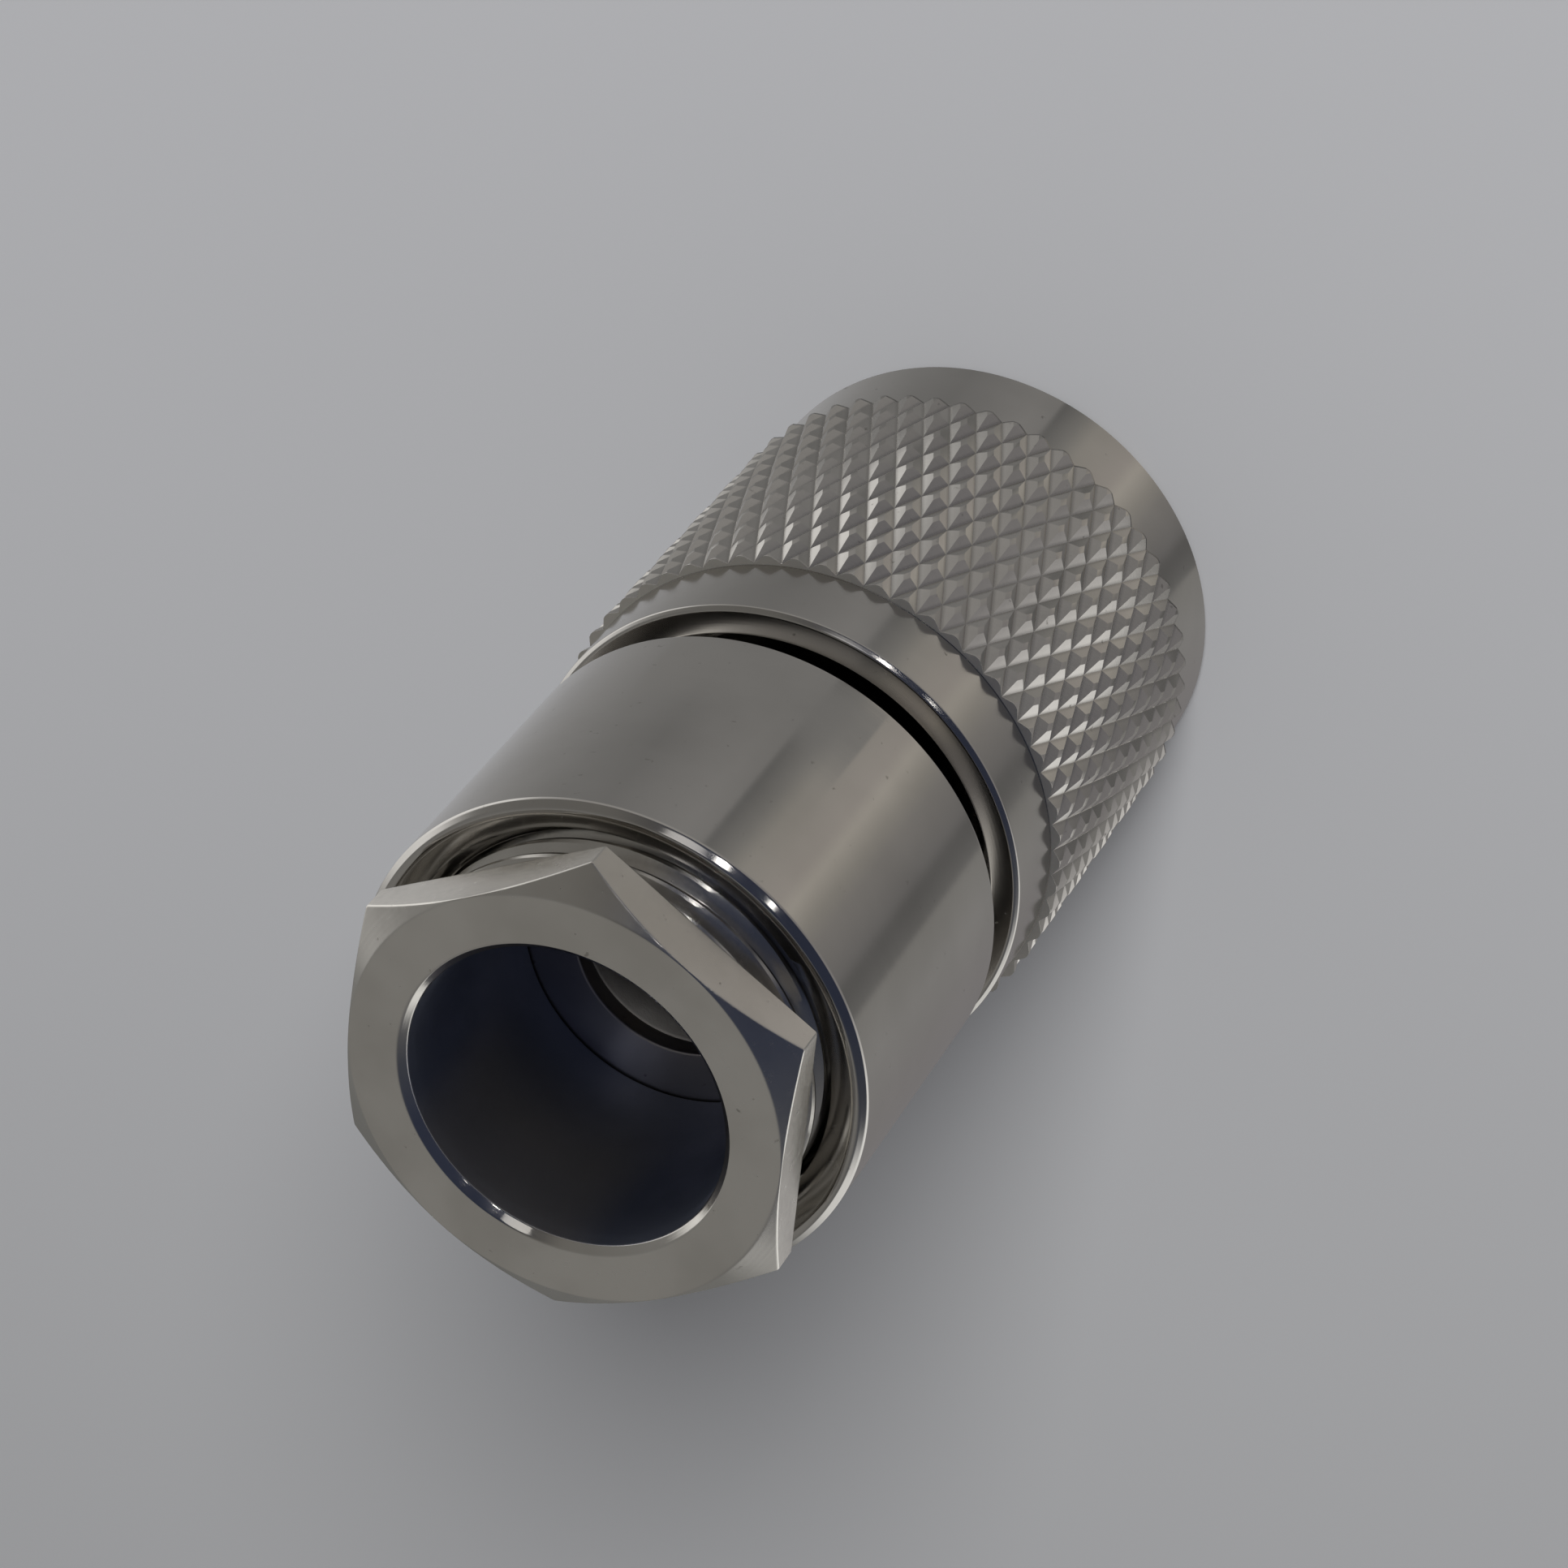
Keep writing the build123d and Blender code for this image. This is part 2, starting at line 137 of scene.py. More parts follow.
# Rings inside the clamp
WASHER_LOW = 22.3
WASHER_HIGH = 22.9
CLAMP_RING_IN_R = 3.05
CLAMP_RING_OUT_R = 5.85
GASKET_LOW = 20.65
BRAID_BORE_R = 2.9
BRAID_NOSE_R = 3.6
BRAID_CONE_R = 5.1
BRAID_FLANGE_LOW = 18.6
BRAID_FLANGE_HIGH = 19.8
BRAID_MOUTH_R = 4.3
BRAID_MOUTH_LOW = 19.45

# Camera, from the photograph: where it stands and its own right, up and forward directions
CAMERA_LENS = 111.80
CAMERA_PLACE = Vector((86.328, 0.0, 123.955)) * MM
CAMERA_RIGHT = Vector((0.49089872, -0.77882153, -0.39045547))
CAMERA_UP = Vector((0.61485689, 0.62722239, -0.47806179))
CAMERA_FORWARD = Vector((-0.61722723, 0.00539431, -0.78676645))
VIEW_SLOPE = 1.2747


def softened(corners, size):
    """Closed profile with rounded corners.

    Each corner P between its neighbours gets a short curve from A to B, two points at the
    distance d along its two sides: (1 - t)^2 A + 2 t (1 - t) P + t^2 B for five values of t.
    One more point at 1.6 d on each side keeps the flat part flat. d is the size asked for, but
    at most 0.28 of the shorter side."""
    before = np.roll(corners, 1, axis=0) - corners
    after = np.roll(corners, -1, axis=0) - corners
    before_length = np.linalg.norm(before, axis=-1, keepdims=True)
    after_length = np.linalg.norm(after, axis=-1, keepdims=True)
    reach = np.minimum(size, 0.28 * np.minimum(before_length, after_length))
    start = before / before_length * reach
    end = after / after_length * reach
    t = np.linspace(0, 1, CURVE_POINTS).reshape(1, -1, 1, 1)
    arc = (1 - t) ** 2 * start[:, None] + t ** 2 * end[:, None]
    offsets = np.concatenate([1.6 * start[:, None], arc, 1.6 * end[:, None]], axis=1)
    points = corners[:, None] + offsets
    return points.reshape(-1, *corners.shape[1:])


def all_round(corners, columns):
    """A profile of (radius, height) corners repeated at every column angle."""
    return np.repeat(np.array(corners, float)[:, None, :], columns, axis=1)


def even_angles(columns, turn=0.0):
    """Column angles spread evenly over the circle."""
    return turn + np.arange(columns) * 2 * math.pi / columns


def ring_faces(profile):
    """Four-sided faces of a ring whose rows and columns both close on themselves."""
    rows, columns = profile.shape[:2]
    index = np.arange(rows * columns).reshape(rows, columns)
    along = np.roll(index, -1, axis=0)
    beside = np.roll(index, -1, axis=1)
    across = np.roll(along, -1, axis=1)
    return np.stack([index, beside, across, along], axis=-1).reshape(-1, 4)


def split_by_crease(profile, faces):
    """Triangles of a ring's faces, split along the diagonal whose radii differ less, and along
    the lower diagonal where both differ by the same.

    A groove or a ridge that crosses a face runs along that diagonal, so it stays sharp."""
    radius = profile[..., 0].reshape(-1)
    corner = radius[faces]
    one_way = np.abs(corner[:, 0] - corner[:, 2]) + SAME_RADIUS * (corner[:, 0] + corner[:, 2])
    other_way = np.abs(corner[:, 1] - corner[:, 3]) + SAME_RADIUS * (corner[:, 1] + corner[:, 3])
    first = one_way <= other_way
    order = np.where(first[:, None], [0, 1, 2, 0, 2, 3], [1, 2, 3, 1, 3, 0])
    return np.take_along_axis(faces, order, axis=1).reshape(-1, 3)


def make_piece(name, profile, angles, faces, crease, body, slot, *nodes):
    """A ring-shaped piece: row i, column j sits at radius R[i, j] and height Z[i, j], turned by
    angle j about the plug's axis: (R cos a, R sin a, Z)."""
    radius = profile[..., 0] * MM
    points = np.stack([radius * np.cos(angles), radius * np.sin(angles), profile[..., 1] * MM], -1)
    points = points.reshape(-1, 3)
    triangles = points[faces[:, :3]]
    volume = np.einsum("ij,ij->i", triangles[:, 0], np.cross(triangles[:, 1], triangles[:, 2])).sum()
    if volume < 0:
        faces = faces[:, ::-1]
    mesh = bpy.data.meshes.new(name)
    mesh.from_pydata(points, [], faces)
    mesh.update()
    mesh.shade_smooth()
    mesh.set_sharp_from_angle(angle=math.radians(crease))
    piece = bpy.data.objects.new(name, mesh)
    bpy.context.scene.collection.objects.link(piece)
    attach(piece, body)
    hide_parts(*nodes)
    return piece


def give_attribute(piece, name, values):
    """One number for each point of a piece, which its material reads by name."""
    layer = piece.data.attributes.new(name, "FLOAT", "POINT")
    layer.data.foreach_set("value", np.ascontiguousarray(values, dtype=np.float32).reshape(-1))


def thread_wave(height, angles, pitch, crest=0.22):
    """Right-hand screw thread: 0 on the crest and 1 in the root of the groove.

    The place in the pitch is height / pitch - angle / 2 pi. Its distance from the groove's middle
    falls from 1 to 0 in a straight flank, with a flat of the given share on top, and a cosine
    rounds both ends."""
    place = height / pitch - angles / (2 * math.pi)
    away = np.abs(place - np.round(place)) * 2
    flank = np.clip((1 - away - crest / 2) / (1 - crest), 0, 1)
    return 0.5 - 0.5 * np.cos(math.pi * flank) * 0.6 - 0.4 * (0.5 - flank)


def knurl_height(turns, rows):
    """Diamond knurl: 0 in the grooves and 1 on the blunted tips.

    Two families of grooves cross, one on whole numbers of turns - rows / 2 and one on whole
    numbers of turns + rows / 2. The height is the smaller distance from a groove, doubled, and
    what stands above the blunting level is pressed down to a fifth of its slope. The whole is
    then divided by the height that the tips are left with."""
    one_way = turns - rows / 2
    other_way = turns + rows / 2
    lower = np.minimum(np.abs(one_way - np.round(one_way)), np.abs(other_way - np.round(other_way)))
    height = 2 * lower
    pressed = KNURL_BLUNT + (height - KNURL_BLUNT) * KNURL_ABOVE
    return np.minimum(height, pressed) / (KNURL_BLUNT + (1 - KNURL_BLUNT) * KNURL_ABOVE)


def knurl_profile(angles):
    """Rows of the knurled band, four to a diamond row: the root radius plus the diamond height
    times the knurl's depth. Both ends are cut square, so they show as a low wavy shoulder."""
    turns = np.arange(len(angles)) / KNURL_COLUMN_STEPS
    rows = np.linspace(0, KNURL_ROWS, KNURL_ROW_STEPS * KNURL_ROWS + 1)
    height = knurl_height(turns[None, :], rows[:, None])
    radius = KNURL_ROOT_R + height * (KNURL_TIP_R - KNURL_ROOT_R)
    level = KNURL_START + rows * (KNURL_END - KNURL_START) / KNURL_ROWS
    level = np.repeat(level[:, None], len(angles), axis=1)
    return np.stack([radius, level], axis=-1), height


def coupling_thread_profile(angles):
    """Rows of the inside thread, from its run-out down to the mouth, eight to a pitch: the larger
    of the grooved radius and the radius of the cone that opens the mouth or the run-out."""
    level = np.arange(THREAD_END + 0.25, 0.42, -COUPLING_PITCH / COUPLING_STEPS)[:, None]
    groove = MINOR_R + (MAJOR_R - MINOR_R) * thread_wave(level, angles[None, :], COUPLING_PITCH)
    mouth = MOUTH_R - level
    run_out = MINOR_R + (level - THREAD_END) * (RELIEF_R - MINOR_R) / (RELIEF_START - THREAD_END)
    radius = np.maximum(groove, np.maximum(mouth, run_out))
    return np.stack([radius, np.repeat(level, len(angles), axis=1)], axis=-1)


def make_coupling_nut():
    """Knurled turning nut: plain bands with softened edges, the knurl between them, and inside
    the counterbore, the retaining ring's groove, the relief and the thread."""
    columns = KNURL_COLUMN_STEPS * KNURL_ROUND
    angles = even_angles(columns)
    knurl, height = knurl_profile(angles)
    front = softened(all_round([
        (6.2, 0.9), (MOUTH_R, 0.0), (NUT_R - NUT_FRONT_EDGE, 0.0), (NUT_R, NUT_FRONT_EDGE),
        (NUT_R, 2.0),
    ], columns), 0.05)[CORNER_POINTS:-CORNER_POINTS]
    front_end = all_round([(NUT_R, KNURL_START - 2 * KNURL_FOOT), (NUT_R, KNURL_START)], columns)
    rear_end = all_round([(NUT_R, KNURL_END), (NUT_R, KNURL_END + 2 * KNURL_FOOT)], columns)
    rear = softened(all_round([
        (NUT_R, 14.6), (NUT_R, NUT_END - NUT_REAR_EDGE), (NUT_R - NUT_REAR_EDGE, NUT_END),
        (COUNTERBORE_R + NUT_REAR_EDGE / 2, NUT_END), (COUNTERBORE_R, NUT_END - NUT_REAR_EDGE),
        (COUNTERBORE_R, RELIEF_END),
        (RELIEF_R, RELIEF_END), (RELIEF_R, GROOVE_HIGH), (GROOVE_R, GROOVE_HIGH),
        (GROOVE_R, GROOVE_LOW), (RELIEF_R, GROOVE_LOW), (RELIEF_R, RELIEF_START), (7.0, 8.0),
    ], columns), 0.04)[CORNER_POINTS:-CORNER_POINTS]
    thread = coupling_thread_profile(angles)
    profile = np.concatenate([front, front_end, knurl, rear_end, rear, thread])
    faces = split_by_crease(profile, ring_faces(profile))
    piece = make_piece("coupling_nut_knurled", profile, angles, faces, 16.0,
                       "coupling", "plated_brass", "coupling_nut")
    tips = np.full(profile.shape[:2], 0.75)
    start = len(front) + len(front_end)
    tips[start:start + len(knurl)] = height
    give_attribute(piece, "knurl_tip", tips)
    return piece


def make_body_shell():
    """Turned body: neck with the retaining ring's seat, main barrel with softened edges, and
    inside the seats, the cone, the cavity and the rear thread under its countersink."""
    angles = even_angles(240)
    columns = len(angles)
    upper = softened(all_round([
        (SEAT_R, NECK_START), (NECK_R - 0.2, NECK_START), (NECK_R, NECK_START + 0.2),
        (NECK_R, GROOVE_LOW), (RING_SEAT_R, GROOVE_LOW), (RING_SEAT_R, RING_SEAT_HIGH),
        (NECK_R, RING_SEAT_HIGH), (NECK_R, NECK_END), (NECK_R + 0.3, BODY_START),
        (BODY_R - BODY_FRONT_EDGE, BODY_START), (BODY_R, BODY_START + BODY_FRONT_EDGE),
        (BODY_R, BODY_END - BODY_REAR_EDGE), (BODY_R - BODY_REAR_EDGE, BODY_END),
        (COUNTERSINK_R, BODY_END), (REAR_THREAD_R + 0.36, COUNTERSINK_START + 0.252),
        (REAR_THREAD_R, 24.0), (REAR_THREAD_R, CAVITY_END), (CAVITY_R, CAVITY_END),
        (CAVITY_R, CONE_END), (CONE_R, CONE_END), (POCKET_R, POCKET_END), (POCKET_R, LAND_END),
        (LAND_R, LAND_END), (LAND_R, SEAT_END), (SEAT_R, SEAT_END),
    ], columns), 0.05)
    outside, inside = upper[:14 * CORNER_POINTS], upper[16 * CORNER_POINTS:]
    level = np.arange(COUNTERSINK_START + 0.2, CAVITY_END + 0.1, -CLAMP_PITCH / CLAMP_STEPS)[:, None]
    groove = REAR_THREAD_R + REAR_THREAD_DEPTH * thread_wave(level + 0.4, angles[None, :], CLAMP_PITCH)
    sink = REAR_THREAD_R + (level - COUNTERSINK_START) / 0.7
    thread = np.stack([np.maximum(groove, sink), np.repeat(level, columns, axis=1)], axis=-1)
    profile = np.concatenate([outside, thread, inside])
    return make_piece("body_barrel", profile, angles, ring_faces(profile), 24.0,
                      "body", "plated_brass", "body_shell")


def hexagon_angles():
    """Column angles of the clamp nut, thirty to a side, closer together at the corners."""
    near = np.array([0.0, 0.22, 0.6, 1.3, 2.4])
    side = np.concatenate([near, np.arange(4.0, 56.5, 2.5), 60.0 - near[:0:-1]])
    whole = side[None, :] + 60.0 * np.arange(6)[:, None]
    return HEX_CORNER + np.radians(whole.reshape(-1))


def hexagon_radius(angles):
    """Half the width across flats over the cosine of the angle from the flat's middle, held
    back in the last quarter of a degree so that the corner edge is slightly broken."""
    sixth = math.pi / 3
    from_corner = np.mod(angles - HEX_CORNER, sixth)
    from_corner = np.clip(from_corner, math.radians(0.2), sixth - math.radians(0.2))
    return HEX_FLATS / 2 / np.cos(from_corner - sixth / 2)


def make_clamp_nut():
    """Hexagon clamp nut: threaded sleeve, undercut, and a hexagon whose face is turned off in
    a cone, so that the cone meets the flats in arcs: height = face - (radius - R) tan 35.5."""
    angles = hexagon_angles()
    columns = len(angles)
    hexagon = hexagon_radius(angles)
    arc = HEX_END - (hexagon - HEX_FACE_R) * HEX_FACE_TILT
    corners = all_round([
        (UNDERCUT_R, CLAMP_THREAD_END), (UNDERCUT_R, HEX_START), (0.0, HEX_START), (0.0, 0.0),
        (HEX_FACE_R, HEX_END), (BORE_MOUTH_R, HEX_END), (BORE_MOUTH_R - BORE_EDGE, HEX_END - BORE_EDGE),
        (BORE_R, HEX_END - BORE_MOUTH_DEPTH), (BORE_R, CLAMP_START),
        (CLAMP_ROOT_R, CLAMP_START), (CLAMP_ROOT_R, CLAMP_START + 0.5),
    ], columns)
    corners[2, :, 0] = hexagon
    corners[3, :, 0] = hexagon
    corners[3, :, 1] = arc
    smooth = softened(corners, 0.045)
    upper, lower = smooth[:9 * CORNER_POINTS], smooth[9 * CORNER_POINTS:10 * CORNER_POINTS]
    level = np.arange(CLAMP_START + 0.06, CLAMP_THREAD_END, CLAMP_PITCH / CLAMP_STEPS)[:, None]
    depth = CLAMP_THREAD_R - CLAMP_ROOT_R
    ridge = CLAMP_THREAD_R - depth * thread_wave(level, angles[None, :], CLAMP_PITCH)
    lead = CLAMP_THREAD_R - CLAMP_LEAD + (level - CLAMP_START)
    run_out = UNDERCUT_R + (CLAMP_THREAD_END - level) * 1.7
    radius = np.minimum(ridge, np.minimum(lead, run_out))
    thread = np.stack([radius, np.repeat(level, columns, axis=1)], axis=-1)
    profile = np.concatenate([upper, lower, thread])
    return make_piece("clamp_nut_hexagon", profile, angles, ring_faces(profile), 14.0,
                      "clamp_screw", "plated_brass", "clamp_nut")


def make_turned(name, corners, size, body, slot, node):
    """A plain turned ring: a closed profile with softened corners carried round the axis."""
    angles = even_angles(160)
    profile = softened(all_round(corners, len(angles)), size)
    return make_piece(name, profile, angles, ring_faces(profile), 24.0, body, slot, node)


def make_clamp_rings():
    """Slip washer, cable gasket with the groove in its front, and braid clamp with its cone."""
    groove_r = (CLAMP_RING_IN_R + CLAMP_RING_OUT_R) / 2
    washer = make_turned("slip_washer_turned", [
        (CLAMP_RING_IN_R, WASHER_LOW), (CLAMP_RING_OUT_R, WASHER_LOW),
        (CLAMP_RING_OUT_R, WASHER_HIGH), (CLAMP_RING_IN_R, WASHER_HIGH),
    ], 0.07, "clamp_stack", "plated_brass", "slip_washer")
    gasket = make_turned("cable_gasket_moulded", [
        (CLAMP_RING_IN_R, GASKET_LOW), (groove_r - 0.5, GASKET_LOW), (groove_r, GASKET_LOW + 0.5),
        (groove_r + 0.5, GASKET_LOW), (CLAMP_RING_OUT_R, GASKET_LOW),
        (CLAMP_RING_OUT_R, WASHER_LOW), (CLAMP_RING_IN_R, WASHER_LOW),
    ], 0.08, "clamp_stack", "dark_rubber", "clamp_gasket")
    braid = make_turned("braid_clamp_turned", [
        (BRAID_BORE_R, POCKET_END), (BRAID_NOSE_R, POCKET_END), (BRAID_CONE_R, BRAID_FLANGE_LOW),
        (CLAMP_RING_OUT_R, BRAID_FLANGE_LOW), (CLAMP_RING_OUT_R, BRAID_FLANGE_HIGH),
        (BRAID_MOUTH_R, BRAID_FLANGE_HIGH), (BRAID_BORE_R, BRAID_MOUTH_LOW),
    ], 0.05, "body", "plated_brass", "braid_clamp")
    return washer, gasket, braid


class Amount:
    """A number that varies over a surface: a node's output, whose arithmetic adds Math nodes."""

    def __init__(self, tree, socket):
        self.tree = tree
        self.socket = socket

    def __add__(self, other):
        return self.tree.worked("ADD", self, other)

    def __radd__(self, other):
        return self.tree.worked("ADD", other, self)

    def __sub__(self, other):
        return self.tree.worked("SUBTRACT", self, other)

    def __rsub__(self, other):
        return self.tree.worked("SUBTRACT", other, self)

    def __mul__(self, other):
        return self.tree.worked("MULTIPLY", self, other)

    def __rmul__(self, other):
        return self.tree.worked("MULTIPLY", other, self)

    def __truediv__(self, other):
        return self.tree.worked("DIVIDE", self, other)

    def __rtruediv__(self, other):
        return self.tree.worked("DIVIDE", other, self)

    def __pow__(self, other):
        return self.tree.worked("POWER", self, other)


class Tree:
    """A node tree being filled: every node but the arithmetic comes from one method."""

    def __init__(self, owner):
        owner.use_nodes = True
        self.tree = owner.node_tree
        self.tree.nodes.clear()

    def node(self, kind, settings=None, sockets=None):
        """A node of that type. Its settings are set first, then its sockets' values or links."""
        made = self.tree.nodes.new(kind)
        for key, value in (settings or {}).items():
            if key == "stops":
                self.fill_ramp(made.color_ramp, value)
            else:
                setattr(made, key, value)
        for key, value in (sockets or {}).items():
            if isinstance(value, Amount):
                self.tree.links.new(value.socket, made.inputs[key])
            else:
                made.inputs[key].default_value = value
        return made

    def fill_ramp(self, ramp, stops):
        """The ramp's colours at their places, from low to high."""
        while len(ramp.elements) < len(stops):
            ramp.elements.new(0.5)
        for element, (place, colour) in zip(ramp.elements, stops):
            element.position = place
            element.color = (*colour, 1.0)

    def amount(self, node, output=0):
        return Amount(self, node.outputs[output])

    def worked(self, operation, first, second=0.0):
        """The result of one Math node."""
        return self.amount(self.node("ShaderNodeMath", {"operation": operation}, {0: first, 1: second}))

    def millimetres(self):
        """Object coordinates in millimetres."""
        where = self.amount(self.node("ShaderNodeTexCoord"), "Object")
        scaled = self.node("ShaderNodeVectorMath", {"operation": "SCALE"}, {0: where, "Scale": 1000.0})
        return self.amount(scaled)

    def parts(self, vector):
        """The three numbers of a vector."""
        split = self.node("ShaderNodeSeparateXYZ", None, {0: vector})
        return [self.amount(split, i) for i in range(3)]

    def vector(self, x, y, z):
        return self.amount(self.node("ShaderNodeCombineXYZ", None, {0: x, 1: y, 2: z}))

    def noise(self, vector, scale, detail=2.0):
        """Noise between 0 and 1 at that many cells to the unit."""
        made = self.node("ShaderNodeTexNoise", {"noise_dimensions": "3D"},
                         {"Vector": vector, "Scale": scale, "Detail": detail})
        return self.amount(made, "Fac")

    def spread(self, value, low, high, to_low=0.0, to_high=1.0):
        """value carried from low..high to to_low..to_high and held at both ends."""
        made = self.node("ShaderNodeMapRange", {"clamp": True, "interpolation_type": "SMOOTHSTEP"},
                         {0: value, 1: low, 2: high, 3: to_low, 4: to_high})
        return self.amount(made)

    def blend(self, share, first, second):
        """A colour between two colours."""
        made = self.node("ShaderNodeMix", {"data_type": "RGBA"},
                         {0: share, 6: self.colour(first), 7: self.colour(second)})
        return self.amount(made, 2)

    def colour(self, value):
        return value if isinstance(value, Amount) else (*value, 1.0)

    def bumped(self, height, depth, strength=1.0):
        """A normal tilted by a height field; depth is in millimetres."""
        made = self.node("ShaderNodeBump", None,
                         {"Strength": strength, "Distance": depth * MM, "Height": height})
        return self.amount(made)

    def finish(self, colour, rough, fixed, normal=None, metallic=0.0):
        """The surface shader and the material's output. fixed holds its constant sockets."""
        sockets = {"Base Color": colour, "Roughness": rough, "Metallic": metallic, **fixed}
        if normal is not None:
            sockets["Normal"] = normal
        shader = self.node("ShaderNodeBsdfPrincipled", None, sockets)
        self.node("ShaderNodeOutputMaterial", None, {"Surface": self.amount(shader)})


def plated_finish(name, light, dark, rough, marks, cloud, knurled=False, grain=0.0):
    """Nickel or similar plate on turned brass.

    Turning marks are noise on (radius, height), so they run round the axis on barrels and in
    circles on faces. A slow cloud varies colour and roughness, and sparse specks are pits in
    the plate. On the knurl, grooves are darker and rougher than the tips, and the rolled
    teeth lean towards the cable end: a height that falls along the axis tilts their normals.
    The shoulder that ends the knurl is rough and painted light, a painted highlight against the
    dark that it reflects. A finish with grain has a dull bore painted dark navy as painted shade,
    lightened by a painted reflection on its -x wall near the mouth, and a smoother mouth."""
    material = bpy.data.materials.new(name)
    tree = Tree(material)
    where = tree.millimetres()
    x, y, z = tree.parts(where)
    radius = (x * x + y * y) ** 0.5
    ring = tree.vector(radius, z, 0.0)
    coarse = tree.noise(ring, 3.1, 3.0)
    fine = tree.noise(ring, 9.0, 2.0)
    slow = tree.noise(where, 0.32, 3.0)
    specks = tree.spread(tree.noise(where, 3.4, 2.0), 0.70, 0.80)
    tone = tree.blend(tree.spread(slow, 0.3, 0.7), dark, light)
    tone = tree.blend(specks * 0.45, tone, (dark[0] * 0.35, dark[1] * 0.33, dark[2] * 0.3))
    rougher = rough + (slow - 0.5) * cloud + (coarse - 0.5) * 0.06 + specks * 0.15
    height = coarse * 0.6 + fine * 0.4
    if grain > 0:
        dull = tree.noise(where, 7.0, 3.0)
        inner = 1.0 - tree.spread(radius, BORE_R + 0.02, BORE_R + 0.06)
        mouth = 1.0 - tree.spread(radius, BORE_MOUTH_R - 0.01, BORE_MOUTH_R + 0.02) - inner
        rougher = rougher + (dull - 0.5) * grain + inner * (BORE_ROUGH - rough)
        rougher = rougher + mouth * (MOUTH_ROUGH - rough)
        height = height + dull * grain * 2.0
        # Painted shade: the bore tinted dark navy, lightened by a painted reflection on its -x wall near
        # the mouth
        bore_shade = tree.blend(tree.spread(slow, 0.3, 0.7), BORE_SHADE_DARK, BORE_SHADE_LIGHT)
        bore_light_patch = tree.spread(-1.0 * x, 3.1, 4.2) * tree.spread(z, 24.0, 27.5)
        tone = tree.blend(inner, tone, tree.blend(bore_light_patch, bore_shade, BORE_PAINTED_LIGHT))
    if knurled:
        tip = tree.amount(tree.node("ShaderNodeAttribute", {"attribute_name": "knurl_tip"}), "Fac")
        low = 1.0 - tree.spread(tip, 0.0, 0.35)
        # Darker and rougher towards the knurl's grooves
        tone = tree.blend(low * 0.30, tone, (dark[0] * 0.5, dark[1] * 0.5, dark[2] * 0.5))
        rougher = rougher + low * 0.12
        band = tree.spread(z, KNURL_START, KNURL_START + 0.05) - tree.spread(z, KNURL_END - 0.05, KNURL_END)
        height = height - (z - KNURL_END) * band * (TOOTH_LEAN / marks)
        # The shoulder gets a painted highlight in its colour, and more roughness
        step = tree.spread(z, KNURL_END - 0.02, KNURL_END - 0.005)
        step = step - tree.spread(z, KNURL_END + 0.005, KNURL_END + 0.02)
        step = step * tree.spread(radius, NUT_R + 0.01, NUT_R + 0.03)
        tone = tree.blend(step, tone, SHOULDER_PAINTED_LIGHT)
        rougher = rougher + step * SHOULDER_ROUGH
    normal = tree.bumped(height, marks)
    tree.finish(tone, rougher, {"Anisotropic": 0.55, "Anisotropic Rotation": 0.25}, normal, 1.0)
    return material


def bare_metal_finish(name, light, dark, rough, streak):
    """Plated contact metal: colour drifting slowly between two tones, with fine drawn lines
    along the axis made by noise on (x, y) alone and stretched along the height."""
    material = bpy.data.materials.new(name)
    tree = Tree(material)
    where = tree.millimetres()
    x, y, z = tree.parts(where)
    drawn = tree.noise(tree.vector(x * 4.0, y * 4.0, z * 0.4), 2.2, 3.0)
    slow = tree.noise(where, 0.6, 2.0)
    tone = tree.blend(tree.spread(slow, 0.3, 0.7), dark, light)
    normal = tree.bumped(drawn, 0.004)
    tree.finish(tone, rough + (drawn - 0.5) * streak, {"Anisotropic": 0.3}, normal, 1.0)
    return material


def plastic_finish(name, light, dark):
    """White waxy fluoroplastic: faint cloud in the colour, turning marks and a soft sheen."""
    material = bpy.data.materials.new(name)
    tree = Tree(material)
    where = tree.millimetres()
    x, y, z = tree.parts(where)
    radius = (x * x + y * y) ** 0.5
    turned = tree.noise(tree.vector(radius, z, 0.0), 6.0, 2.0)
    slow = tree.noise(where, 0.8, 3.0)
    tone = tree.blend(tree.spread(slow, 0.25, 0.75), dark, light)
    normal = tree.bumped(turned, 0.006)
    fixed = {"IOR": 1.38, "Subsurface Weight": 0.0}
    tree.finish(tone, 0.42 + (turned - 0.5) * 0.2, fixed, normal)
    return material


def rubber_finish(name, light, dark, rough):
    """Moulded rubber: fine matte grain in the normal, and a dusty bloom that lightens it."""
    material = bpy.data.materials.new(name)
    tree = Tree(material)
    where = tree.millimetres()
    grain = tree.noise(where, 14.0, 3.0)
    bloom = tree.noise(where, 1.1, 4.0)
    tone = tree.blend(tree.spread(bloom, 0.35, 0.75), dark, light)
    normal = tree.bumped(grain, 0.012)
    tree.finish(tone, rough + (bloom - 0.5) * 0.2, {"IOR": 1.45}, normal)
    return material


